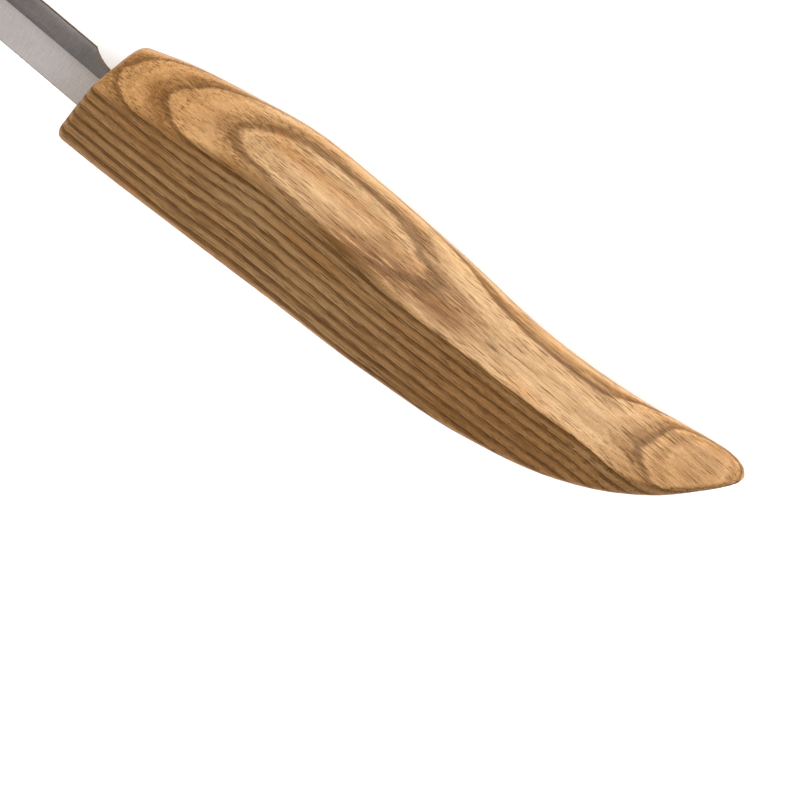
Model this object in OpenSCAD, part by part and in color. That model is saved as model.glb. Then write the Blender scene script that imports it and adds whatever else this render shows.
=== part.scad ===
// Whittling knife: a straight-edged steel blade whose tang is glued into a one-piece wooden handle.
// Origin: where the blade's centre line leaves the handle's front face.
// +X runs along the blade to its tip, +Y to the spine, -Y to the cutting edge, +Z out of one cheek.

/* [Blade] */
// Length of blade outside the handle
blade_length = 50; // [35:1:70]
// Width of the blade from spine to edge
blade_width = 9.3; // [8:0.1:11]
// Thickness of the blade between its flat cheeks
blade_thick = 2.5; // [2:0.1:3]
// Width of each ground bevel, measured up from the edge
bevel_width = 3.7; // [2.5:0.1:4.5]
// Radius of the arc that drops the spine to the tip
spine_drop_radius = 36; // [30:1:60]
// Depth of the heel scoop where it meets the handle
scoop_depth = 1.5; // [0.8:0.1:1.8]
// Length of the heel scoop along the edge
scoop_length = 4.7; // [3.5:0.1:6]

/* [Tang] */
// Length of tang inside the handle
tang_length = 66; // [50:1:75]
// Width of the tang at its buried end
tang_end_width = 4.4; // [3:0.1:5.5]
// How much the tang is set back from the blade on every side
tang_relief = 0.1; // [0.05:0.05:0.3]
// Thickness of adhesive between the tang and the wood
glue_gap = 0.3; // [0.25:0.05:0.5]
// How far the adhesive stops short of the handle's front face
glue_recess = 0.3; // [0.1:0.1:0.5]

/* [Handle] */
// Angle by which the front face leans back on the edge side
face_lean = 5.5; // [0:0.5:10]
// Distance from the blade's centre line up to the handle's back at the front
front_back_height = 10.3; // [9:0.1:12]
// Distance from the blade's centre line down to where the front corner meets the belly
front_belly_depth = 10.1; // [9:0.1:11]
// Radius of the front corner at the back
front_back_radius = 1.5; // [0.5:0.1:2.5]
// Radius of the front corner at the belly
front_belly_radius = 2.4; // [1:0.1:3.5]
// Rounding of the front face's rim over the cheeks
front_rim = 0.7; // [0.3:0.1:1.2]
// Radius along both corners of the handle's back
back_radius = 1.8; // [1:0.1:2.4]
// Radius along the ridge of each cheek
ridge_radius = 3; // [1:0.5:6]
// Radius along both corners of the handle's belly
belly_radius = 4.5; // [3:0.1:6]

/* [Hidden] */
$fn = 96;

face_normal = [cos(face_lean), -sin(face_lean)];
face_up = [sin(face_lean), cos(face_lean)];

// Behind its front corner the belly falls away from the face's normal by this angle.
belly_fall = 28;
belly_ahead = front_belly_radius * (1 - sin(belly_fall));

// Each station of the handle is a straight line across it, from the belly to the back:
// [back point, belly point, place of the ridge (0 at the belly, 1 at the back),
//  half thickness at the ridge, at the back corner and at the belly corner].
front_station = [
    face_up * front_back_height - face_normal * front_back_radius,
    -face_up * front_belly_depth - face_normal * belly_ahead,
    0.48, 8.2, 2.8, 3
];
body_stations = [
    [[-9, 10.2], [-9, -12.2], 0.47, 9.1, 2.8, 3.2],
    [[-19, 9.75], [-19, -14.6], 0.45, 9.8, 2.8, 3.3],
    [[-31, 9.1], [-31, -16.9], 0.43, 10.3, 2.8, 3.5],
    [[-44, 8.45], [-44, -17.3], 0.43, 10.4, 2.8, 3.5],
    [[-63, 7.35], [-63, -16.95], 0.48, 10.1, 3, 3.4],
    [[-80, 5.3], [-80, -16.2], 0.49, 9.5, 3.5, 3.3],
    [[-96, 0.8], [-94, -17], 0.58, 8.6, 4.6, 3.1],
    [[-104.5, -3.6], [-101.5, -18.1], 0.76, 7.6, 5.6, 2.9],
    [[-110.5, -8.1], [-107.2, -19.2], 0.86, 6.5, 5.4, 2.6],
    [[-114.6, -12.3], [-112, -20.05], 0.86, 5.2, 4.6, 2.4],
    [[-117.1, -15.1], [-115.2, -20.4], 0.84, 4.2, 3.7, 2.1],
    [[-118.4, -16.8], [-117.2, -20.2], 0.82, 3.2, 2.8, 1.7],
    [[-119, -17.8], [-118.4, -19.7], 0.8, 2.1, 1.8, 1.2]
];
tail_tip = [-119.25, -18.8];
rings_per_span = 4;
corner_steps = 4;

stations = concat([front_station], body_stations);
last = len(stations) - 1;
tip_station = [tail_tip, tail_tip, stations[last][2], 0, 0, 0];
all_stations = concat(stations, [tip_station]);

// Past the tip the outline turns round, so the back and the belly swap and the thickness changes sign.
function past_tip(s) = [s[1], s[0], s[2], -s[3], -s[4], -s[5]];
function station(i) =
    i < 0 ? station(0) * 2 - station(1)
    : i > last + 1 ? past_tip(stations[last])
    : all_stations[i];
function middle(s) = (s[0] + s[1]) / 2;
function gap(i) = norm(middle(station(i + 1)) - middle(station(i)));
function slope(i) =
    let(before = gap(i - 1), after = gap(i))
    ((station(i) - station(i - 1)) / before * after + (station(i + 1) - station(i)) / after * before)
    / (before + after);
function between(i, t) =
    station(i) * (1 + 2 * t) * pow(1 - t, 2)
    + slope(i) * gap(i) * t * pow(1 - t, 2)
    + station(i + 1) * t * t * (3 - 2 * t)
    + slope(i + 1) * gap(i) * t * t * (t - 1);

// A corner b rounded to radius r between its neighbours a and c, as points on a smooth curve.
function rounded(a, b, c, r) =
    let(
        to_a = a - b,
        to_c = c - b,
        turn = 180 - acos(max(-1, min(1, to_a * to_c / norm(to_a) / norm(to_c)))),
        cut = min(r * tan(turn / 2), 0.48 * norm(to_a), 0.48 * norm(to_c)),
        from = b + to_a / norm(to_a) * cut,
        to = b + to_c / norm(to_c) * cut
    )
    [for (k = [0:corner_steps]) let(t = k / corner_steps)
        from * pow(1 - t, 2) + b * 2 * t * (1 - t) + to * t * t];

// The outline of one station: a six-sided section with rounded corners.
function section_outline(s) =
    let(
        height = norm(s[0] - s[1]),
        ridge = height * s[2],
        corners = [[0, -s[5]], [0, s[5]], [ridge, s[3]], [height, s[4]], [height, -s[4]], [ridge, -s[3]]],
        radii = [belly_radius, belly_radius, ridge_radius, back_radius, back_radius, ridge_radius]
    )
    [for (k = [0:5]) each rounded(corners[(k + 5) % 6], corners[k], corners[(k + 1) % 6], radii[k])];
function ring(s) =
    let(across = (s[0] - s[1]) / norm(s[0] - s[1]))
    [for (p = section_outline(s)) [s[1][0] + across[0] * p[0], s[1][1] + across[1] * p[0], p[1]]];

// The front corners turn in towards the face; a is 0 where the turn starts and 90 at the face.
// The belly's corner turns less far, by the angle at which the belly already falls away.
function front_turn(a) =
    let(
        s = front_station,
        inward = front_rim * (1 - cos(a)),
        belly_a = belly_fall + (90 - belly_fall) * a / 90,
        belly_out = front_belly_radius * (sin(belly_a) - sin(belly_fall)),
        belly_in = front_belly_radius * (cos(belly_fall) - cos(belly_a))
    )
    [
        s[0] + face_normal * front_back_radius * sin(a) - face_up * front_back_radius * (1 - cos(a)),
        s[1] + face_normal * belly_out + face_up * belly_in,
        s[2], s[3] - inward, s[4] - inward, s[5] - inward
    ];

// The blank starts a little ahead of the front face, which is then cut flat.
front_stock = 0.2;
front_shift = face_normal * front_stock;
function ahead(s) = [s[0] + front_shift, s[1] + front_shift, s[2], s[3], s[4], s[5]];
blank_rings = concat(
    [ring(ahead(front_turn(90)))],
    [for (a = [67.5:-22.5:22.5]) ring(front_turn(a))],
    [for (i = [0:last], k = [0:rings_per_span - 1]) ring(between(i, k / rings_per_span))]
);

// A closed skin over the rings, flat at the front and drawn to one point at the tip.
module skin(rings, tip) {
    sides = len(rings[0]);
    count = len(rings);
    points = concat([for (r = rings) each r], [tip]);
    front = [[for (k = [0:sides - 1]) sides - 1 - k]];
    walls = [for (j = [0:count - 2], k = [0:sides - 1]) let(n = (k + 1) % sides)
        each [
            [j * sides + k, j * sides + n, (j + 1) * sides + k],
            [j * sides + n, (j + 1) * sides + n, (j + 1) * sides + k]
        ]];
    base = (count - 1) * sides;
    end = [for (k = [0:sides - 1]) [base + k, base + (k + 1) % sides, len(points) - 1]];
    polyhedron(points = points, faces = concat(front, walls, end));
}

// Everything in front of the handle's front face set back by a depth, and everything behind the face.
module ahead_of_face(depth = 0) {
    rotate([0, 0, -face_lean]) translate([-depth, -20, -20]) cube([20, 40, 40]);
}

module behind_face() {
    rotate([0, 0, -face_lean]) translate([-20, -20, -20]) cube([20, 40, 40]);
}

edge_y = -blade_width / 2;
spine_y = blade_width / 2;
scoop_radius = (pow(scoop_length, 2) + pow(scoop_depth, 2)) / (2 * scoop_depth);
scoop_slant = 0.8;
neck_y = edge_y + scoop_depth;
bevel_run = 3;
edge_land = 0.1;
tip_run = sqrt(blade_width * (2 * spine_drop_radius - blade_width));

// The tang's outline seen from above, grown by a margin for the slot that holds it.
module tang_outline(margin) {
    polygon([
        [2, spine_y - tang_relief + margin],
        [-tang_length - margin, tang_end_width / 2 + margin],
        [-tang_length - margin, -tang_end_width / 2 - margin],
        [2, neck_y + tang_relief - margin]
    ]);
}

module tang_slot() {
    slot_thick = blade_thick + 2 * glue_gap;
    translate([0, 0, -slot_thick / 2]) linear_extrude(slot_thick) tang_outline(glue_gap + tang_relief);
}

// The blade seen from above: a straight edge, and a spine that drops to the tip in one arc.
module blade_outline() {
    straight = blade_length - tip_run;
    translate([-bevel_run, edge_y]) square([straight + bevel_run, blade_width]);
    intersection() {
        translate([straight - 1, edge_y]) square([tip_run + 1, blade_width]);
        translate([straight, spine_y - spine_drop_radius]) circle(spine_drop_radius, $fn = 240);
    }
}

// The ground cross-section drawn out along the blade: flat cheeks and two bevels down to the edge.
module ground_bar() {
    half = blade_thick / 2;
    translate([-bevel_run, 0, 0]) rotate([90, 0, 90]) linear_extrude(blade_length + bevel_run)
        polygon([
            [spine_y, -half], [spine_y, half], [edge_y + bevel_width, half], [edge_y, edge_land],
            [edge_y, -edge_land], [edge_y + bevel_width, -half]
        ]);
}

// The heel scoop, wider at both cheeks than in the middle.
module heel_scoop() {
    for (side = [0, 1]) mirror([0, 0, side]) translate([0, neck_y - scoop_radius, 0])
        cylinder(h = blade_thick, r1 = scoop_radius, r2 = scoop_radius + scoop_slant * 2);
}

// The tang keeps the bevels for a short way into the handle, and is rectangular beyond.
module tang() {
    tang_thick = blade_thick - 2 * tang_relief;
    difference() {
        translate([0, 0, -tang_thick / 2]) linear_extrude(tang_thick) tang_outline(0);
        ahead_of_face();
        difference() {
            translate([-bevel_run, -blade_width, -blade_thick])
                cube([2 * bevel_run, 2 * blade_width, 2 * blade_thick]);
            ground_bar();
        }
    }
}

module blade() {
    color("silver") {
        difference() {
            intersection() {
                translate([0, 0, -blade_thick]) linear_extrude(blade_thick * 2) blade_outline();
                ground_bar();
            }
            heel_scoop();
            behind_face();
        }
        tang();
    }
}

module handle() {
    color("burlywood") difference() {
        skin(blank_rings, [tail_tip[0], tail_tip[1], 0]);
        ahead_of_face();
        tang_slot();
    }
}

module tang_glue() {
    color("saddlebrown") difference() {
        tang_slot();
        ahead_of_face(glue_recess);
        blade();
    }
}

blade();
handle();
tang_glue();
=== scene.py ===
"""Looks for the whittling knife: a ground steel blade in a hooked handle of oiled ring-porous hardwood.

Lengths in the geometry sections are millimetres in the part's own frame: origin on the blade's centre
line at the handle's front face, +X to the blade's tip, +Y to its spine, -Y to its edge, +Z out of the
cheek that shows.
"""

import math

import bmesh
import bpy
import numpy as np
from mathutils import Matrix, Vector, noise


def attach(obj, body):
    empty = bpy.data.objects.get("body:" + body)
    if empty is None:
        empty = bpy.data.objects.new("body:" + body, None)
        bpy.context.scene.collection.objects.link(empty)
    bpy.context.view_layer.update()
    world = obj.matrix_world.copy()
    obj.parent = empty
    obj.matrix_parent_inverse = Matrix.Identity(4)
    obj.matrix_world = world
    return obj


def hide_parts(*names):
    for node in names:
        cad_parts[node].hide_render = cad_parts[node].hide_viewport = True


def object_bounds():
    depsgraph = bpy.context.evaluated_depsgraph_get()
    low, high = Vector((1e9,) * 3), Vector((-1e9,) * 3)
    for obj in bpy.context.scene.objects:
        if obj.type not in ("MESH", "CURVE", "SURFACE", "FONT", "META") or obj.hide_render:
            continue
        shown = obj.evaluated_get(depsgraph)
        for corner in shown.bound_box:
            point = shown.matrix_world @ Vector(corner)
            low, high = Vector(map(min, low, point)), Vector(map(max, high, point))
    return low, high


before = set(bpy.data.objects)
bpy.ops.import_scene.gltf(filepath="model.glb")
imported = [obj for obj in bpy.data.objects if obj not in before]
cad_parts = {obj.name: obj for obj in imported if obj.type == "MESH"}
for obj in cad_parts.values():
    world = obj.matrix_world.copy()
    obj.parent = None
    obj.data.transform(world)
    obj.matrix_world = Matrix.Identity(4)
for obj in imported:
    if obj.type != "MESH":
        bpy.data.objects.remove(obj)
cad_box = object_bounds()

MM = 0.001


def clipped(share):
    """A share kept between 0 and 1."""
    return min(1, max(0, share))


# ---------------------------------------------------------------- handle: shape

FACE_LEAN = math.radians(5.5)
FACE_NORMAL = np.array([math.cos(FACE_LEAN), -math.sin(FACE_LEAN)])
FACE_UP = np.array([math.sin(FACE_LEAN), math.cos(FACE_LEAN)])
FRONT_BACK_HEIGHT = 10.3
FRONT_BELLY_DEPTH = 10.1
FRONT_BACK_RADIUS = 1.5
FRONT_BELLY_RADIUS = 2.4
FRONT_WIDTHS = (0.48, 8.2, 2.8, 3)  # the ridge's place and the half thicknesses, as in a station below
BELLY_FALL = math.radians(28)
FRONT_RIM = 0.7
BACK_RADIUS = 1.8
BELLY_RADIUS = 4.5
RIDGE_RADIUS_FRONT = 1.7
RIDGE_RADIUS_TAIL = 0.9
RIDGE_SHARPENS_OVER = 100
CORNER_SHARE = 0.48  # the most of a side that the curve at its end may take
FACET_CROWN = 0.18
CROWN_SHARE = 0.02  # the most that a crown may rise, for a facet's width
HAND_WAVE = 0.07
WAVE_ALONG = 16
WAVE_ACROSS = 7
WAVE_SHIFT = Vector((3.1, 7.7, 1.9))
WAVE_STARTS = 2  # behind the front face; it is full after the run
WAVE_FRONT_RUN = 8
WAVE_ENDS = 119  # behind the front face; it fades over the run before that
WAVE_TAIL_RUN = 6

TAIL_TIP = (-119.25, -18.8)
# Each station is a straight line across the handle: back point, belly point, place of the ridge on it
# (0 at the belly, 1 at the back), and half thickness at the ridge, the back corner and the belly corner.
BODY_STATIONS = [
    (-9, 10.2, -9, -12.2, 0.47, 9.1, 2.8, 3.2),
    (-19, 9.75, -19, -14.6, 0.45, 9.8, 2.8, 3.3),
    (-31, 9.1, -31, -16.9, 0.43, 10.3, 2.8, 3.5),
    (-44, 8.45, -44, -17.3, 0.43, 10.4, 2.8, 3.5),
    (-63, 7.35, -63, -16.95, 0.48, 10.1, 3, 3.4),
    (-80, 5.3, -80, -16.2, 0.49, 9.5, 3.5, 3.3),
    (-96, 0.8, -94, -17, 0.58, 8.6, 4.6, 3.1),
    (-104.5, -3.6, -101.5, -18.1, 0.76, 7.6, 5.6, 2.9),
    (-110.5, -8.1, -107.2, -19.2, 0.86, 6.5, 5.4, 2.6),
    (-114.6, -12.3, -112, -20.05, 0.86, 5.2, 4.6, 2.4),
    (-117.1, -15.1, -115.2, -20.4, 0.84, 4.2, 3.7, 2.1),
    (-118.4, -16.8, -117.2, -20.2, 0.82, 3.2, 2.8, 1.7),
    (-119, -17.8, -118.4, -19.7, 0.8, 2.1, 1.8, 1.2),
]
RINGS_PER_SPAN = 12
RIM_STEPS = 8
CORNER_STEPS = 8
FACET_STEPS = 7


def front_station():
    back = FACE_UP * FRONT_BACK_HEIGHT - FACE_NORMAL * FRONT_BACK_RADIUS
    belly = -FACE_UP * FRONT_BELLY_DEPTH - FACE_NORMAL * FRONT_BELLY_RADIUS * (1 - math.sin(BELLY_FALL))
    return np.array([*back, *belly, *FRONT_WIDTHS])


STATIONS = [front_station()] + [np.array(s, float) for s in BODY_STATIONS]
LAST = len(STATIONS) - 1


def station(i):
    """Station i, with one made up beyond each end so that the curve has a slope there."""
    if i < 0:
        return 2 * station(0) - station(1)
    if i <= LAST:
        return STATIONS[i]
    if i == LAST + 1:
        return np.array([*TAIL_TIP, *TAIL_TIP, STATIONS[LAST][4], 0, 0, 0])
    s = STATIONS[LAST]
    return np.array([s[2], s[3], s[0], s[1], s[4], -s[5], -s[6], -s[7]])


def gap(i):
    """How far apart the middles of station i and the next are."""
    a, b = station(i), station(i + 1)
    return np.linalg.norm((b[0:2] + b[2:4] - a[0:2] - a[2:4]) / 2)


def slope(i):
    """How fast the stations change at station i, weighed by the gaps on its two sides."""
    before, after = gap(i - 1), gap(i)
    rise = (station(i) - station(i - 1)) / before * after + (station(i + 1) - station(i)) / after * before
    return rise / (before + after)


def between(i, t):
    """The station a share t of the way from station i to the next, on a smooth cubic."""
    g = gap(i)
    start = station(i) * (1 + 2 * t) * (1 - t) ** 2 + slope(i) * g * t * (1 - t) ** 2
    return start + station(i + 1) * t * t * (3 - 2 * t) + slope(i + 1) * g * t * t * (t - 1)


def front_turn(angle):
    """The front station turned in towards the face: 0 where the rounding starts, 90 at the face."""
    out, inward = math.sin(math.radians(angle)), 1 - math.cos(math.radians(angle))
    belly_angle = BELLY_FALL + (math.pi / 2 - BELLY_FALL) * angle / 90
    belly_out = FRONT_BELLY_RADIUS * (math.sin(belly_angle) - math.sin(BELLY_FALL))
    belly_in = FRONT_BELLY_RADIUS * (math.cos(BELLY_FALL) - math.cos(belly_angle))
    s = station(0).copy()
    s[0:2] += FACE_NORMAL * FRONT_BACK_RADIUS * out - FACE_UP * FRONT_BACK_RADIUS * inward
    s[2:4] += FACE_NORMAL * belly_out + FACE_UP * belly_in
    s[5:] -= FRONT_RIM * inward
    return s


def corner_curve(before, corner, after, radius):
    """Start, corner and end of the curve that rounds a corner."""
    to_before, to_after = before - corner, after - corner
    a, b = np.linalg.norm(to_before), np.linalg.norm(to_after)
    turn = math.pi - math.acos(max(-1, min(1, to_before @ to_after / a / b)))
    cut = min(radius * math.tan(turn / 2), CORNER_SHARE * a, CORNER_SHARE * b)
    return corner + to_before / a * cut, corner, corner + to_after / b * cut


def section(s):
    """The six-sided outline across a station, its corners rounded and its facets slightly crowned."""
    ridge_place, ridge_half, back_half, belly_half = s[4:]
    height = np.linalg.norm(s[0:2] - s[2:4])
    ridge = height * ridge_place
    along_handle = clipped(-s[0] / RIDGE_SHARPENS_OVER)
    ridge_radius = RIDGE_RADIUS_FRONT + (RIDGE_RADIUS_TAIL - RIDGE_RADIUS_FRONT) * along_handle
    corners = [(0, -belly_half), (0, belly_half), (ridge, ridge_half),
               (height, back_half), (height, -back_half), (ridge, -ridge_half)]
    corners = [np.array(c, float) for c in corners]
    radii = [BELLY_RADIUS, BELLY_RADIUS, ridge_radius, BACK_RADIUS, BACK_RADIUS, ridge_radius]
    curves = [corner_curve(corners[k - 1], corners[k], corners[(k + 1) % 6], radii[k]) for k in range(6)]
    points = []
    for k in range(6):
        start, corner, end = curves[k]
        for t in np.linspace(0, 1, CORNER_STEPS + 1):
            points.append(start * (1 - t) ** 2 + corner * 2 * t * (1 - t) + end * t * t)
        following = curves[(k + 1) % 6][0]
        along = following - end
        length = np.linalg.norm(along)
        outward = np.array([-along[1], along[0]]) / length
        crown = min(FACET_CROWN, length * CROWN_SHARE)
        for j in range(1, FACET_STEPS):
            t = j / FACET_STEPS
            points.append(end + along * t + outward * crown * (4 * t * (1 - t)) ** 2)
    return points


def ring(s):
    """A station's outline as points in the part's frame."""
    across = (s[0:2] - s[2:4]) / np.linalg.norm(s[0:2] - s[2:4])
    return [Vector((s[2] + across[0] * p[0], s[3] + across[1] * p[0], p[1])) for p in section(s)]


def handle_rings():
    rim = [ring(front_turn(90 - 90 * k / RIM_STEPS)) for k in range(RIM_STEPS)]
    body = [ring(between(i, k / RINGS_PER_SPAN)) for i in range(LAST + 1) for k in range(RINGS_PER_SPAN)]
    return rim + body


def tube(rings):
    """An open skin of quads over rings of equal count, and its vertices ring by ring."""
    mesh = bmesh.new()
    grid = [[mesh.verts.new(p * MM) for p in one] for one in rings]
    sides = len(grid[0])
    for a, b in zip(grid, grid[1:]):
        for k in range(sides):
            n = (k + 1) % sides
            mesh.faces.new((a[k], a[n], b[n], b[k]))
    return mesh, grid


def skin(rings, tip):
    """A closed skin over the rings, capped flat at the first and drawn to a point after the last."""
    mesh, grid = tube(rings)
    last = grid[-1]
    point = mesh.verts.new(Vector(tip) * MM)
    for k in range(len(last)):
        mesh.faces.new((last[k], last[(k + 1) % len(last)], point))
    mesh.faces.new(list(reversed(grid[0])))
    bmesh.ops.recalc_face_normals(mesh, faces=mesh.faces)
    return mesh


def hand_shaped(mesh):
    """The slight waviness that hand sanding leaves, fading out at the front face and the tail's tip."""
    mesh.normal_update()
    for v in mesh.verts:
        p = v.co / MM
        fade = clipped((-p.x - WAVE_STARTS) / WAVE_FRONT_RUN) * clipped((p.x + WAVE_ENDS) / WAVE_TAIL_RUN)
        wave = noise.noise(Vector((p.x / WAVE_ALONG, p.y / WAVE_ACROSS, p.z / WAVE_ACROSS)) + WAVE_SHIFT)
        v.co += v.normal * (HAND_WAVE * wave * fade * MM)


# ---------------------------------------------------------------- blade: shape

BLADE_LENGTH = 50
SPINE_Y = 4.65
EDGE_Y = -4.65
HALF_THICK = 1.25
BEVEL_WIDTH = 3.7
EDGE_LAND = 0.05
MICRO_BEVEL = 0.28
MICRO_BULGE = 0.02  # how far the second bevel's top stands out from the main bevel's flat
KNEE_HALF = EDGE_LAND + (HALF_THICK - EDGE_LAND) * MICRO_BEVEL / BEVEL_WIDTH + MICRO_BULGE
SPINE_DROP_RADIUS = 36
SPINE_BREAK = 0.16
SPINE_BREAK_SHARE = 0.2  # the most of the blade's height that the spine's break may take near the tip
SHOULDER_BREAK = 0.07
SHOULDER_BREAK_SHARE = 0.4
SHOULDER_DIP = 0.004  # how much the break takes off the shoulder
CHEEK_SHARE = 0.2  # the least of the blade's height that the cheek keeps near the tip
TIP_HEIGHT = 0.02
TIP_HALF = 0.01
SCOOP_DEPTH = 1.5
SCOOP_LENGTH = 4.7
SCOOP_SLANT = 0.64
SCOOP_RADIUS = (SCOOP_LENGTH ** 2 + SCOOP_DEPTH ** 2) / (2 * SCOOP_DEPTH)
NECK_Y = EDGE_Y + SCOOP_DEPTH
TIP_RUN = math.sqrt(2 * SPINE_Y * (2 * SPINE_DROP_RADIUS - 2 * SPINE_Y))
DROP_START = BLADE_LENGTH - TIP_RUN
TANG_LENGTH = 66
TANG_END_HALF = 2.2
TANG_RELIEF = 0.1
TANG_TOP = SPINE_Y - TANG_RELIEF
TANG_LOW = NECK_Y + TANG_RELIEF
TANG_BREAK = 0.18
TANG_BREAK_MIDDLE = 0.3  # how far in the middle of the broken corner lies, for its size
TANG_TAPER_START = 2
# Places along the tang, with how much its end is drawn in there.
TANG_PLACES = [(x, 0) for x in (1.2, -0.2, -2.4, -4, -12, -24, -36, -48, -58, -64.6)]
TANG_PLACES += [(-65.6, 0.15), (-TANG_LENGTH, 0.5)]
TANG_SIDE_PULL = 0.6  # how much of that its sides are drawn in
BEHIND_FACE = -3  # where the blade's own sections start, before it is cut off along the front face
BEVEL_CLEARANCE = 0.05
GLUE_GAP = 0.3
SAME_POINT = 0.0005


def spine_at(x):
    if x <= DROP_START:
        return SPINE_Y
    return SPINE_Y - SPINE_DROP_RADIUS + math.sqrt(max(0, SPINE_DROP_RADIUS ** 2 - (x - DROP_START) ** 2))


def half_thickness(y):
    """Half thickness of the ground section at a height y: the cheek, the bevel and the fine second bevel."""
    up = y - EDGE_Y
    if up < MICRO_BEVEL:
        return EDGE_LAND + (KNEE_HALF - EDGE_LAND) * up / MICRO_BEVEL
    main_bevel = KNEE_HALF + (HALF_THICK - KNEE_HALF) * (up - MICRO_BEVEL) / (BEVEL_WIDTH - MICRO_BEVEL)
    return min(HALF_THICK, main_bevel)


def scoop_floor(x, z):
    """How high the heel scoop has cut at a place along the blade and a depth z from its middle."""
    radius = SCOOP_RADIUS + SCOOP_SLANT * z
    if abs(x) >= radius:
        return EDGE_Y
    return NECK_Y - SCOOP_RADIUS + math.sqrt(radius ** 2 - x ** 2)


def scoop_corner(x):
    """Where the wall of the scoop meets the bevel or cheek, as (y, z), found by closing in on it."""
    y = EDGE_Y
    for _ in range(30):
        y = max(EDGE_Y, scoop_floor(max(0, x), half_thickness(y)))
    return y, half_thickness(y)


def spine_break(top, low):
    """The middle of the spine, then a quarter round down to the cheek."""
    size = min(SPINE_BREAK, (top - low) * SPINE_BREAK_SHARE)
    points = [(top, 0)]
    for degrees in (0, 22.5, 45, 67.5, 90):
        a = math.radians(degrees)
        z = half_thickness(top - size) - size * (1 - math.sin(a))
        points.append((top - size * (1 - math.cos(a)), max(TIP_HALF, z)))
    return points


def blade_half(x):
    """One side of the blade's section, from the middle of the spine to the middle of the edge, as (y, z)."""
    low, low_z = scoop_corner(x)
    points = spine_break(max(spine_at(x), low + TIP_HEIGHT), low)
    start = points[-1][0]
    shoulder = min(EDGE_Y + BEVEL_WIDTH, start - CHEEK_SHARE * (start - low))
    soft = min(SHOULDER_BREAK, SHOULDER_BREAK_SHARE * (start - shoulder))
    for t in (0.25, 0.5, 0.75):
        y = start + (shoulder + soft - start) * t
        points.append((y, half_thickness(y)))
    for step, dip in ((1, 0), (0, SHOULDER_DIP), (-1, 0)):
        y = shoulder + soft * step
        points.append((y, half_thickness(y) - dip))
    last = points[-1][0]
    floor = min(max(low, EDGE_Y + MICRO_BEVEL), (last + low) / 2)
    for t in (0.25, 0.5, 0.75, 1):
        y = last + (floor - last) * t
        points.append((y, half_thickness(y)))
    points.append((low, low_z))
    for t in (0.66, 0.33, 0):
        z = low_z * t
        cut = scoop_floor(max(0, x), z) if low > EDGE_Y else EDGE_Y
        points.append((max(EDGE_Y, cut), z))
    return points


def blade_places():
    """Where along the blade its sections lie: closer together on the scoop's and the spine's arcs."""
    root = [BEHIND_FACE, -1.5, -0.7]
    scoop = [SCOOP_LENGTH * (1 - math.cos(math.radians(a))) for a in range(0, 91, 6)]
    scoop += [SCOOP_LENGTH + past for past in (0.15, 0.4)]
    straight = list(np.linspace(SCOOP_LENGTH + 1, DROP_START, 14))
    drop = [DROP_START + TIP_RUN * math.sin(math.radians(a)) for a in np.linspace(4, 89.4, 26)]
    return root + scoop + straight + drop


def full_ring(x, half):
    """Both sides of a section from one side's points."""
    near = [Vector((x, y, z)) for y, z in half]
    far = [Vector((x, y, -z)) for y, z in reversed(half[1:-1])]
    return near + far


def lofted(rings):
    """A closed skin over rings of equal count, both ends filled, with points that coincide made one."""
    mesh, grid = tube(rings)
    mesh.faces.new(grid[0])
    mesh.faces.new(grid[-1])
    bmesh.ops.remove_doubles(mesh, verts=mesh.verts, dist=SAME_POINT * MM)
    bmesh.ops.dissolve_degenerate(mesh, edges=mesh.edges, dist=SAME_POINT * MM)
    bmesh.ops.recalc_face_normals(mesh, faces=mesh.faces)
    return mesh


def blade_body():
    """The blade outside the handle, cut off along the handle's front face."""
    mesh = lofted([full_ring(x, blade_half(x)) for x in blade_places()])
    geometry = mesh.verts[:] + mesh.edges[:] + mesh.faces[:]
    normal = Vector((FACE_NORMAL[0], FACE_NORMAL[1], 0))
    cut = bmesh.ops.bisect_plane(mesh, geom=geometry, plane_co=(0, 0, 0), plane_no=normal, clear_inner=True)
    rim = [e for e in cut["geom_cut"] if isinstance(e, bmesh.types.BMEdge)]
    bmesh.ops.edgeloop_fill(mesh, edges=rim)
    bmesh.ops.recalc_face_normals(mesh, faces=mesh.faces)
    return mesh


def tang_section(x, top, low, thick):
    """A rectangle with broken corners across the tang."""
    b = TANG_BREAK
    m = b * TANG_BREAK_MIDDLE
    half = [(top, 0), (top, thick - b), (top - m, thick - m), (top - b, thick)]
    half += [(low + b, thick), (low + m, thick - m), (low, thick - b), (low, 0)]
    return full_ring(x, half)


def tang_body():
    """The tapered tang, narrow enough behind the front face to stay inside the ground bevels."""
    rings = []
    for x, pull in TANG_PLACES:
        t = clipped((TANG_TAPER_START - x) / (TANG_TAPER_START + TANG_LENGTH))
        top = TANG_TOP + (TANG_END_HALF - TANG_TOP) * t
        low = TANG_LOW + (-TANG_END_HALF - TANG_LOW) * t
        if x > BEHIND_FACE:
            low = max(low, EDGE_Y + BEVEL_WIDTH + BEVEL_CLEARANCE)
        thick = HALF_THICK - TANG_RELIEF - pull * TANG_SIDE_PULL
        rings.append(tang_section(x, top - pull, low + pull, thick))
    return lofted(rings)


def slot_body():
    """The slot for the tang: a tapered pocket a little larger than the tang all round."""
    margin = GLUE_GAP + TANG_RELIEF
    deep = HALF_THICK + GLUE_GAP
    mouth = (TANG_TAPER_START, TANG_TOP, TANG_LOW)
    end = (-TANG_LENGTH - margin, TANG_END_HALF, -TANG_END_HALF)
    rings = []
    for x, top, low in (mouth, end):
        half = [(top + margin, 0), (top + margin, deep), (low - margin, deep), (low - margin, 0)]
        rings.append(full_ring(x, half))
    return lofted(rings)


# ---------------------------------------------------------------- pieces

HANDLE_CREASE = 40
BLADE_CREASE = 8
PLAIN_CREASE = 30


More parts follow.
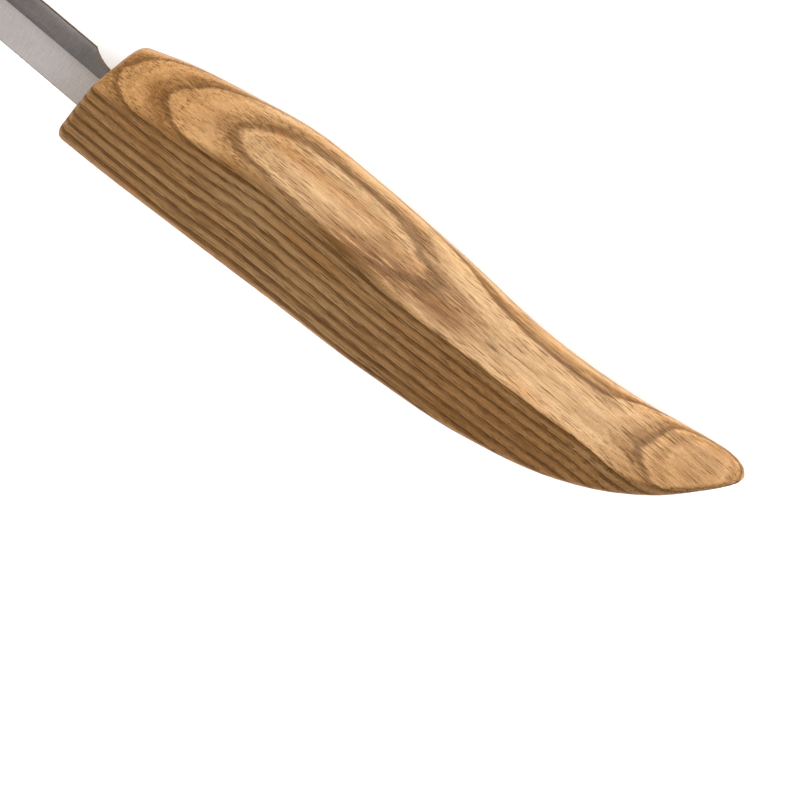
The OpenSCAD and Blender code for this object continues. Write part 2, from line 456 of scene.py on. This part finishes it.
def creased(mesh, degrees):
    """Smooth shading all over, with a crease wherever the surface turns by more than an angle."""
    limit = math.radians(degrees)
    for face in mesh.faces:
        face.smooth = True
    for edge in mesh.edges:
        edge.smooth = not (edge.is_manifold and edge.calc_face_angle() > limit)


def piece(name, mesh, crease=PLAIN_CREASE):
    """An object from a bmesh, which is used up."""
    creased(mesh, crease)
    data = bpy.data.meshes.new(name)
    mesh.to_mesh(data)
    mesh.free()
    obj = bpy.data.objects.new(name, data)
    bpy.context.scene.collection.objects.link(obj)
    return obj


def combined(obj, other, operation):
    """obj united with, or cut by, another object, which is used up."""
    cutter = obj.modifiers.new(operation, "BOOLEAN")
    cutter.operation = operation
    cutter.solver = "EXACT"
    cutter.object = other
    graph = bpy.context.evaluated_depsgraph_get()
    result = bpy.data.meshes.new_from_object(obj.evaluated_get(graph))
    obj.modifiers.clear()
    obj.data = result
    bpy.data.objects.remove(other)


def recreased(obj, degrees):
    """An object's creases marked afresh, after its mesh has changed."""
    mesh = bmesh.new()
    mesh.from_mesh(obj.data)
    creased(mesh, degrees)
    mesh.to_mesh(obj.data)
    mesh.free()
    return obj


def make_handle():
    mesh = skin(handle_rings(), (*TAIL_TIP, 0))
    hand_shaped(mesh)
    handle = piece("handle_body", mesh, HANDLE_CREASE)
    combined(handle, piece("slot_cutter", slot_body()), "DIFFERENCE")
    return recreased(handle, HANDLE_CREASE)


def make_blade():
    blade = piece("blade_and_tang", blade_body(), BLADE_CREASE)
    combined(blade, piece("tang_part", tang_body()), "UNION")
    return recreased(blade, BLADE_CREASE)


# ---------------------------------------------------------------- shader helpers


def feed(tree, socket, value):
    """Links a socket to another node's output, or sets it."""
    if isinstance(value, bpy.types.NodeSocket):
        tree.links.new(value, socket)
    else:
        socket.default_value = value


def calc(tree, operation, *values, clamp=False):
    """A sum on numbers or other nodes' outputs."""
    node = tree.nodes.new("ShaderNodeMath")
    node.operation = operation
    node.use_clamp = clamp
    for socket, value in zip(node.inputs, values):
        feed(tree, socket, value)
    return node.outputs[0]


def total(tree, *values):
    result = values[0]
    for value in values[1:]:
        result = calc(tree, "ADD", result, value)
    return result


def ease(tree, value, start, end, low=0.0, high=1.0):
    """low before start, high after end, and a smooth step between."""
    node = tree.nodes.new("ShaderNodeMapRange")
    node.interpolation_type = "SMOOTHSTEP"
    for socket, v in zip(node.inputs, (value, start, end, low, high)):
        feed(tree, socket, v)
    return node.outputs[0]


def bell(tree, off):
    """1 at 0, falling off smoothly on both sides."""
    return calc(tree, "EXPONENT", calc(tree, "MULTIPLY", calc(tree, "MULTIPLY", off, off), -1))


def split(tree, vector):
    """The x, y and z of a vector."""
    node = tree.nodes.new("ShaderNodeSeparateXYZ")
    tree.links.new(vector, node.inputs[0])
    return node.outputs


def millimetres(tree):
    """The place in the row frame, in millimetres."""
    place = tree.nodes.new("ShaderNodeTexCoord")
    scale = tree.nodes.new("ShaderNodeVectorMath")
    scale.operation = "SCALE"
    scale.inputs["Scale"].default_value = 1 / MM
    tree.links.new(place.outputs["Object"], scale.inputs[0])
    return scale.outputs[0]


def stretched(tree, place, scale, shift=(0, 0, 0), turn=(0, 0, 0)):
    node = tree.nodes.new("ShaderNodeMapping")
    node.inputs["Scale"].default_value = scale
    node.inputs["Location"].default_value = shift
    node.inputs["Rotation"].default_value = turn
    tree.links.new(place, node.inputs["Vector"])
    return node.outputs[0]


def cloud(tree, place, scale, shift=(0, 0, 0), detail=2.0, rough=0.5, turn=(0, 0, 0)):
    """Smooth noise between 0 and 1, one patch per 1/scale millimetres along each axis."""
    node = tree.nodes.new("ShaderNodeTexNoise")
    node.inputs["Scale"].default_value = 1.0
    node.inputs["Detail"].default_value = detail
    node.inputs["Roughness"].default_value = rough
    tree.links.new(stretched(tree, place, scale, shift, turn), node.inputs["Vector"])
    return node.outputs["Fac"]


def curve(tree, value, stops):
    """A smooth curve through (place, level) stops."""
    node = tree.nodes.new("ShaderNodeValToRGB")
    node.color_ramp.interpolation = "EASE"
    ramp = node.color_ramp.elements
    while len(ramp) < len(stops):
        ramp.new(0.5)
    for element, (place, level) in zip(ramp, stops):
        element.position = place
        element.color = (level, level, level, 1)
    feed(tree, node.inputs[0], value)
    return node.outputs[0]


def blend(tree, share, a, b, mode="MIX"):
    """Colour a with a share of colour b mixed into it, or multiplied onto it."""
    node = tree.nodes.new("ShaderNodeMix")
    node.data_type = "RGBA"
    node.blend_type = mode
    feed(tree, node.inputs["Factor"], share)
    feed(tree, node.inputs["A"], a)
    feed(tree, node.inputs["B"], b)
    return node.outputs["Result"]


def bumped(tree, height, distance, strength=1.0):
    node = tree.nodes.new("ShaderNodeBump")
    node.inputs["Distance"].default_value = distance * MM
    node.inputs["Strength"].default_value = strength
    feed(tree, node.inputs["Height"], height)
    return node.outputs[0]


def material(name):
    """A new material, its node tree and its shader."""
    made = bpy.data.materials.new(name)
    made.use_nodes = True
    return made, made.node_tree, made.node_tree.nodes["Principled BSDF"]


def shade(red, green, blue):
    """A colour from 0-255 screen values."""
    return tuple(pow((v / 255 + 0.055) / 1.055, 2.4) for v in (red, green, blue)) + (1,)


# ---------------------------------------------------------------- wood

WOOD_PALE = (0.73, 0.450, 0.212, 1)
WOOD_WARM = (0.61, 0.308, 0.107, 1)
WOOD_BAND = (0.28, 0.120, 0.027, 1)
WOOD_LINE = (0.16, 0.064, 0.011, 1)
WOOD_PORE = (0.12, 0.048, 0.011, 1)
WOOD_SHADOW = (0.38, 0.26, 0.09, 1)

RING_TILT = math.radians(33)
RING_PITCH = 1.8
RING_START = -4.16
# Smooth steps along the handle: the x where a step starts and ends, and the values before and after it
# (0 and 1 where none are given).
RING_DRIFT = [(-20, -36, 0, -0.34), (-52, -72, 0, -0.30), (-92, -118, 0, 1.5), (-106, -120, 0, -0.7)]
CREST_Y = (6, -36, -3.1, -10.5)
CROWN_EDGE_SIDE = [(-46, -72, -7, -3.7), (-90, -108, 0, -2.6)]
CROWN_SPINE_SIDE = 7
CROWN_RISE = 0.95
PATCH_Y = (-44, -60, -7.2, -8.3)
PATCH_HALF = 2.4
PATCH_STARTS = (-34, -50)
PATCH_ENDS = (-77, -66)
FRONT_WARMTH = (-30, -12, 0, 0.85)
# Behind, on the lower facet only, the warm tone is painted shade.
BACK_PAINTED_SHADE = (-45, -80, 0, 0.9)
TAIL_WARMTH = (-92, -108, 0, 0.65)
# Smooth steps across the handle, in y.
FRONT_WARMTH_ACROSS = (-2, 3, 1, 0.35)
# Across the ridge onto the lower facet, for the painted shade behind.
BACK_PAINTED_SHADE_ACROSS = (-7, -3)

# What one growth ring does from its start (0) to the next one's (1).
BROAD_BAND = [(0, 0.7), (0.10, 0.12), (0.34, 0.05), (0.56, 0.42), (0.76, 1.0), (1, 1.0)]
THIN_LINE = [(0, 0.7), (0.04, 0.0), (0.82, 0.0), (0.93, 1.0), (1, 0.9)]
POROUS = [(0, 0.8), (0.22, 0.65), (0.40, 0.15), (0.58, 0.35), (0.80, 0.95), (1, 1)]
HALF_BAND = [(0, 0.3), (0.1, 0), (0.55, 0), (0.92, 0.5)]

# Noise: patches per millimetre along X, Y and Z, a shift, the detail and the roughness.
WANDER = ((0.05, 0.16, 0.16), (4.3, 0.7, 2.2), 1.0)
RIPPLE = ((0.22, 0.9, 0.9), (1.3, 5.7, 0.2), 3.0)
RAGGED = ((0.5, 6, 6), (6.1, 2.7, 9.2), 2.0)
RING_SWAY = [(WANDER, 0.16), (RIPPLE, 0.16), (RAGGED, 0.12)]  # with how far each moves a ring, in rings
PATCH_STREAK = ((0.11, 1.7, 1.7), (6, 2, 2), 4.0, 0.6)
FIBRE = ((0.12, 9, 9), (0, 0, 0), 3.0, 0.65)
STRAND = ((0.03, 3.2, 3.2), (7, 2, 6), 4.0, 0.7)
STREAK = ((0.05, 2.2, 2.2), (2, 9, 4), 3.0, 0.6)
BLOTCH = ((0.05, 0.25, 0.25), (8, 1, 5), 3.0)
STAIN = ((0.10, 0.75, 0.75), (5, 4, 1), 4.0, 0.6)
SPECK = ((3.0, 6.5, 6.5), (3, 1, 4), 3.0, 0.75)
MOTTLE = ((0.045, 0.9, 0.9), (3, 3, 8), 3.0)
LONG_PORE = ((0.26, 5.8, 5.8), (5, 3, 1), 1.0, 0.4)
FINE_PORE = ((0.38, 8, 8), (1, 6, 2), 1.0, 0.4)

HALF_BAND_SHIFT = 0.35
LEAST_BAND = 0.75
BAND_LUCK = 0.45
BAND_STRENGTH = 0.85
LINE_STRENGTH = 0.7
PORE_LIMIT = 0.665  # the noise level above which a long pore opens
PORE_CROWDING = -0.10  # how much lower that is in the porous part of a ring
PORE_EDGE = 0.05
PORE_STRENGTH = 0.75
FINE_PORE_LIMITS = (0.59, 0.66, 0, 0.8)
WOOD_RELIEF = 0.04
PORE_DEPTH = 0.7
FIBRE_HEIGHT = 0.35
BAND_HEIGHT = 0.12
WOOD_ROUGHNESS = 0.48
PORE_ROUGHNESS = 0.2
WOOD_SHEEN = 0.15


def patches(tree, place, field, stops):
    """Noise made into patches by a curve."""
    return curve(tree, cloud(tree, place, *field), stops)


def swayed(tree, place, field, reach):
    """Noise about zero that moves a ring by half its reach at most, either way."""
    return calc(tree, "MULTIPLY_ADD", cloud(tree, place, *field), reach, -reach / 2)


def growth_rings(tree, place, x, y, z):
    """Counts growth rings: flat sheets that lean over, bent into a low crown along the upper facet."""
    lean = total(tree, calc(tree, "MULTIPLY", y, -math.sin(RING_TILT) / RING_PITCH),
                 calc(tree, "MULTIPLY", z, math.cos(RING_TILT) / RING_PITCH))
    drift = total(tree, RING_START, *[ease(tree, x, *step) for step in RING_DRIFT])
    across = calc(tree, "SUBTRACT", y, ease(tree, x, *CREST_Y))
    edge_side = total(tree, *[ease(tree, x, *step) for step in CROWN_EDGE_SIDE])
    off = calc(tree, "MAXIMUM", calc(tree, "DIVIDE", across, CROWN_SPINE_SIDE),
               calc(tree, "DIVIDE", across, edge_side))
    crown = calc(tree, "MULTIPLY", calc(tree, "SUBTRACT", 1, bell(tree, off)), -CROWN_RISE)
    return total(tree, lean, drift, crown, *[swayed(tree, place, *one) for one in RING_SWAY])


def ring_luck(tree, rings):
    """A number between 0 and 1 that stays the same all through one ring."""
    chance = tree.nodes.new("ShaderNodeTexWhiteNoise")
    chance.noise_dimensions = "1D"
    tree.links.new(calc(tree, "FLOOR", rings), chance.inputs["W"])
    return chance.outputs["Value"]


def broad_bands(tree, place, rings, glow):
    """How strong the broad brown bands are: one to a ring, some with a fainter one between, all mottled."""
    luck = ring_luck(tree, rings)
    twice = calc(tree, "FRACT", calc(tree, "MULTIPLY_ADD", rings, 2.0, HALF_BAND_SHIFT))
    between_bands = calc(tree, "MULTIPLY", curve(tree, twice, HALF_BAND), luck)
    mottle = patches(tree, place, MOTTLE, [(0.30, 0.45), (0.60, 1.0)])
    weight = calc(tree, "MULTIPLY", mottle, calc(tree, "MULTIPLY_ADD", luck, BAND_LUCK, LEAST_BAND))
    return calc(tree, "MULTIPLY", calc(tree, "ADD", glow, between_bands), weight, clamp=True)


def warmth_and_painted_shade(tree, place, x, y):
    """How far pale wood turns warm: in blotches, at the front and tail, and, as painted shade, behind on the
    lower facet.
    """
    front = calc(tree, "MULTIPLY", ease(tree, x, *FRONT_WARMTH), ease(tree, y, *FRONT_WARMTH_ACROSS))
    # Painted shade: a darker, warmer tone on the lower facet behind, which faces away from the key.
    back = calc(tree, "MULTIPLY", ease(tree, x, *BACK_PAINTED_SHADE), ease(tree, y, *BACK_PAINTED_SHADE_ACROSS))
    ends = calc(tree, "MAXIMUM", front, calc(tree, "MAXIMUM", back, ease(tree, x, *TAIL_WARMTH)))
    blotches = patches(tree, place, BLOTCH, [(0.42, 0), (0.74, 0.85)])
    return calc(tree, "MAXIMUM", blotches, ends)


def dark_patch(tree, place, x, y):
    """The streaky darker wood along the ridge where the innermost ring closes."""
    off = calc(tree, "DIVIDE", calc(tree, "SUBTRACT", y, ease(tree, x, *PATCH_Y)), PATCH_HALF)
    reach = calc(tree, "MULTIPLY", ease(tree, x, *PATCH_STARTS), ease(tree, x, *PATCH_ENDS))
    streaks = patches(tree, place, PATCH_STREAK, [(0.30, 0), (0.52, 1.0)])
    return calc(tree, "MULTIPLY", calc(tree, "MULTIPLY", bell(tree, off), reach), streaks)


def pores(tree, place, porous):
    """Long pores, most of them in the porous part of each ring, and finer ones only there."""
    limit = calc(tree, "MULTIPLY_ADD", porous, PORE_CROWDING, PORE_LIMIT)
    coarse = ease(tree, calc(tree, "SUBTRACT", cloud(tree, place, *LONG_PORE), limit), 0, PORE_EDGE)
    fine = ease(tree, cloud(tree, place, *FINE_PORE), *FINE_PORE_LIMITS)
    return calc(tree, "MAXIMUM", calc(tree, "MULTIPLY", coarse, PORE_STRENGTH),
                calc(tree, "MULTIPLY", fine, porous))


def wood_colour(tree, place, x, y, rings, glow, pore):
    """The wood's colour without its fine unevenness, laid on layer by layer."""
    broad = broad_bands(tree, place, rings, glow)
    line = curve(tree, calc(tree, "FRACT", rings), THIN_LINE)
    thin = calc(tree, "MULTIPLY", line, patches(tree, place, STREAK, [(0.25, 0.35), (0.55, 1.0)]))
    stain = patches(tree, place, STAIN, [(0.45, 0), (0.75, 0.6)])
    # Warm tone: real in the blotches and at the front and tail, painted shade on the lower facet behind.
    base = blend(tree, warmth_and_painted_shade(tree, place, x, y), WOOD_PALE, WOOD_WARM)
    base = blend(tree, stain, base, WOOD_BAND)
    base = blend(tree, dark_patch(tree, place, x, y), base, WOOD_SHADOW, "MULTIPLY")
    base = blend(tree, calc(tree, "MULTIPLY", broad, BAND_STRENGTH), base, WOOD_BAND)
    base = blend(tree, calc(tree, "MULTIPLY", thin, LINE_STRENGTH), base, WOOD_LINE)
    return blend(tree, pore, base, WOOD_PORE)


def wood():
    made, tree, shader = material("ring_porous_wood")
    place = millimetres(tree)
    x, y, z = split(tree, place)
    rings = growth_rings(tree, place, x, y, z)
    share = calc(tree, "FRACT", rings)
    glow = curve(tree, share, BROAD_BAND)
    pore = pores(tree, place, curve(tree, share, POROUS))
    fibre = cloud(tree, place, *FIBRE)
    strand = cloud(tree, place, *STRAND)
    speck = cloud(tree, place, *SPECK)

    base = wood_colour(tree, place, x, y, rings, glow, pore)
    base = blend(tree, 1.0, base, curve(tree, fibre, [(0.25, 0.76), (0.70, 1.0)]), "MULTIPLY")
    base = blend(tree, 1.0, base, curve(tree, strand, [(0.30, 0.80), (0.62, 1.0)]), "MULTIPLY")
    base = blend(tree, 1.0, base, curve(tree, speck, [(0.28, 0.70), (0.72, 1.0)]), "MULTIPLY")

    height = total(tree, calc(tree, "MULTIPLY", pore, -PORE_DEPTH),
                   calc(tree, "MULTIPLY", fibre, FIBRE_HEIGHT), calc(tree, "MULTIPLY", glow, BAND_HEIGHT))
    tree.links.new(base, shader.inputs["Base Color"])
    tree.links.new(bumped(tree, height, WOOD_RELIEF, 0.5), shader.inputs["Normal"])
    rough = calc(tree, "MULTIPLY_ADD", pore, PORE_ROUGHNESS, WOOD_ROUGHNESS)
    tree.links.new(rough, shader.inputs["Roughness"])
    shader.inputs["Specular IOR Level"].default_value = WOOD_SHEEN
    return made


# ---------------------------------------------------------------- steel and glue

STEEL_BRIGHT = (0.62, 0.565, 0.55, 1)
STEEL_DULL = (0.45, 0.405, 0.385, 1)
# A brown reflection of the handle's wood, painted on the faces that face the cutting edge.
STEEL_PAINTED_BROWN_REFLECTION = (0.060, 0.027, 0.007, 1)
# A warm darkening of the steel near the handle: a painted reflection of the handle's wood.
STEEL_PAINTED_WOOD_REFLECTION = (0.80, 0.775, 0.72, 1)
WOOD_REFLECTION_REACH = (11, 0)  # the x from which, and at which, the painted reflection of the handle's wood is laid on
BROWN_REFLECTION_FACING = (-0.335, -0.365)  # a face's normal in y where the painted brown reflection begins and where it is full
BROWN_REFLECTION_COVER = 0.95
BROWN_REFLECTION_ROUGHNESS = 0.25
STEEL_ROUGHNESS = 0.13
HAZE_ROUGHNESS = 0.08
SCRATCH_ROUGHNESS = 0.10
SCRATCH_RELIEF = 0.004
LONG_SCRATCH = ((0.35, 24, 24), (0, 0, 0), 3.0, 0.6)
CROSS_SCRATCH = ((14, 0.6, 0.6), (4, 1, 7), 3.0, 0.6, (0, 0, math.radians(8)))
HAZE = ((0.12, 0.35, 0.35), (2, 8, 3), 2.0)
CLOT = ((1.1, 1.1, 1.1), (0, 0, 0), 3.0)
GLUE_DARK = shade(58, 34, 16)
GLUE_LIGHT = shade(112, 70, 32)


def painted_brown_reflection(tree):
    """Where a brown reflection of the wood is painted: on the second bevel and the scoop's wall, which face
    the edge most.
    """
    faces = tree.nodes.new("ShaderNodeNewGeometry")
    facing = split(tree, faces.outputs["True Normal"])[1]
    return calc(tree, "MULTIPLY", ease(tree, facing, *BROWN_REFLECTION_FACING), BROWN_REFLECTION_COVER)


def steel():
    """Steel ground along its length: fine scratches, faint cross-grinding, and painted reflections of the
    wood: brown on the faces that face the edge most, darker near the handle.
    """
    made, tree, shader = material("ground_steel")
    place = millimetres(tree)
    # The share of the painted brown reflection of the wood, on the second bevel and the scoop's wall.
    scale = painted_brown_reflection(tree)
    haze = cloud(tree, place, *HAZE)
    tone = calc(tree, "MULTIPLY_ADD", cloud(tree, place, *LONG_SCRATCH), 0.5,
                calc(tree, "MULTIPLY", cloud(tree, place, *CROSS_SCRATCH), 0.5))
    base = blend(tree, curve(tree, tone, [(0.3, 0), (0.7, 1)]), STEEL_DULL, STEEL_BRIGHT)
    # The painted reflection of the handle's wood, darkening the steel near the handle.
    base = blend(tree, ease(tree, split(tree, place)[0], *WOOD_REFLECTION_REACH), base, STEEL_PAINTED_WOOD_REFLECTION, "MULTIPLY")
    # The painted brown reflection, laid over the steel.
    base = blend(tree, scale, base, STEEL_PAINTED_BROWN_REFLECTION)
    # Rougher where the brown reflection is painted.
    rough = total(tree, calc(tree, "MULTIPLY", tone, SCRATCH_ROUGHNESS),
                  calc(tree, "MULTIPLY_ADD", haze, HAZE_ROUGHNESS, STEEL_ROUGHNESS),
                  calc(tree, "MULTIPLY", scale, BROWN_REFLECTION_ROUGHNESS))
    tree.links.new(base, shader.inputs["Base Color"])
    tree.links.new(rough, shader.inputs["Roughness"])
    tree.links.new(bumped(tree, tone, SCRATCH_RELIEF, 0.3), shader.inputs["Normal"])
    # No metal where the brown reflection is painted.
    tree.links.new(calc(tree, "SUBTRACT", 1, scale), shader.inputs["Metallic"])
    shader.inputs["Specular IOR Level"].default_value = 0.2
    return made


def cured_glue():
    made, tree, shader = material("cured_glue_amber")
    clot = cloud(tree, millimetres(tree), *CLOT)
    tree.links.new(blend(tree, clot, GLUE_DARK, GLUE_LIGHT), shader.inputs["Base Color"])
    tree.links.new(calc(tree, "MULTIPLY_ADD", clot, 0.25, 0.2), shader.inputs["Roughness"])
    tree.links.new(bumped(tree, clot, 0.1, 0.6), shader.inputs["Normal"])
    return made


# ---------------------------------------------------------------- studio


def toward(degrees, along=0):
    """A direction leaning from straight up to the cutting edge's side (negative: to the spine's)."""
    a = math.radians(degrees)
    return (along, -math.sin(a), math.cos(a))


FLOOR_Z = cad_box[0].z
SUBJECT = Vector((-0.06915, 0.0075, 0))
CAMERA_DISTANCE = 0.4
CAMERA_LEAN = math.radians(6)
CAMERA_TURN = math.radians(140)
CAMERA_LENS = 111.6
FLOOR_HALF = 2
PAPER_SHADES = (0.90, 0.90, 0.90, 1), (0.93, 0.93, 0.93, 1)
PAPER_GRAIN = ((0.05, 0.05, 0.05), (0, 0, 0), 4.0)
# Each light's direction, distance, size (along X, across), power in watts and colour.
KEY = (toward(58, -0.12), 0.8, (0.6, 0.34), 10.7)
PAPER_LIGHT = (toward(0), 1.2, (2.4, 2.4), 60)
OVERHEAD = (toward(-10), 0.9, (1.0, 0.36), 1.0)
LOW_RIM = (toward(-87, 0.55), 0.7, (0.9, 0.2), 3.9, (1, 0.80, 0.55))
AMBIENT = 0.16


def softbox(name, direction, distance, size, power, colour=(1, 1, 1)):
    """A rectangular light that faces the subject from a direction; size is (along X, across)."""
    data = bpy.data.lights.new(name, "AREA")
    data.shape = "RECTANGLE"
    data.size, data.size_y = size
    data.energy = power
    data.color = colour
    lamp = bpy.data.objects.new(name, data)
    bpy.context.scene.collection.objects.link(lamp)
    away = Vector(direction).normalized()
    lamp.location = SUBJECT + away * distance
    side = Vector((1, 0, 0))
    side = (side - away * side.dot(away)).normalized()
    up = away.cross(side)
    lamp.rotation_mode = "QUATERNION"
    lamp.rotation_quaternion = turned(side, up, away)
    return lamp


def turned(right, up, back):
    """The rotation whose own axes are these three directions."""
    return Matrix((right, up, back)).transposed().to_quaternion()


def make_floor():
    mesh = bmesh.new()
    for x, y in ((-1, -1), (1, -1), (1, 1), (-1, 1)):
        mesh.verts.new((x * FLOOR_HALF, y * FLOOR_HALF, FLOOR_Z))
    mesh.faces.new(mesh.verts)
    floor = piece("floor", mesh)
    made, tree, shader = material("pale_paper")
    grain = cloud(tree, millimetres(tree), *PAPER_GRAIN)
    tree.links.new(blend(tree, grain, *PAPER_SHADES), shader.inputs["Base Color"])
    shader.inputs["Roughness"].default_value = 0.9
    floor.data.materials.append(made)
    return floor


def linked(lamp, obj, state):
    """Keeps a light off one object ("EXCLUDE"), or for that object alone ("INCLUDE")."""
    group = bpy.data.collections.new(lamp.name + "_linking")
    group.objects.link(obj)
    group.collection_objects[0].light_linking.link_state = state
    lamp.light_linking.receiver_collection = group


def make_light(floor):
    """The key shapes the facets; the paper has a broad light of its own, so that hardly a shadow shows."""
    linked(softbox("key", *KEY), floor, "EXCLUDE")
    linked(softbox("paper_light", *PAPER_LIGHT), floor, "INCLUDE")
    softbox("overhead", *OVERHEAD)
    softbox("low_rim", *LOW_RIM)
    world = bpy.data.worlds.new("studio")
    bpy.context.scene.world = world
    world.use_nodes = True
    backdrop = world.node_tree.nodes["Background"]
    backdrop.inputs["Color"].default_value = (1, 1, 1, 1)
    backdrop.inputs["Strength"].default_value = AMBIENT


def make_camera():
    """Almost straight above, a little to the edge's side, turned so that the knife lies on a diagonal."""
    data = bpy.data.cameras.new("camera")
    data.lens = CAMERA_LENS
    data.clip_start, data.clip_end = 0.01, 10
    camera = bpy.data.objects.new("camera", data)
    bpy.context.scene.collection.objects.link(camera)
    back = Vector((0, -math.sin(CAMERA_LEAN), math.cos(CAMERA_LEAN)))
    up = Vector((math.sin(CAMERA_TURN), math.cos(CAMERA_TURN), 0))
    up = (up - back * up.dot(back)).normalized()
    camera.location = SUBJECT + back * CAMERA_DISTANCE
    camera.rotation_mode = "QUATERNION"
    camera.rotation_quaternion = turned(up.cross(back), up, back)
    bpy.context.scene.camera = camera


def finish_piece(obj, node, made):
    """Puts a piece in the CAD node's place and its own material."""
    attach(obj, "root")
    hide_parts(node)
    obj.data.materials.clear()
    obj.data.materials.append(made)


def carried_over(node, made):
    """A CAD node that stays as it is, with a better material."""
    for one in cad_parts[node].material_slots:
        one.material = made


finish_piece(make_handle(), "handle", wood())
finish_piece(make_blade(), "blade", steel())
carried_over("tang_glue", cured_glue())
make_light(make_floor())
make_camera()
bpy.context.scene.view_settings.view_transform = "Standard"
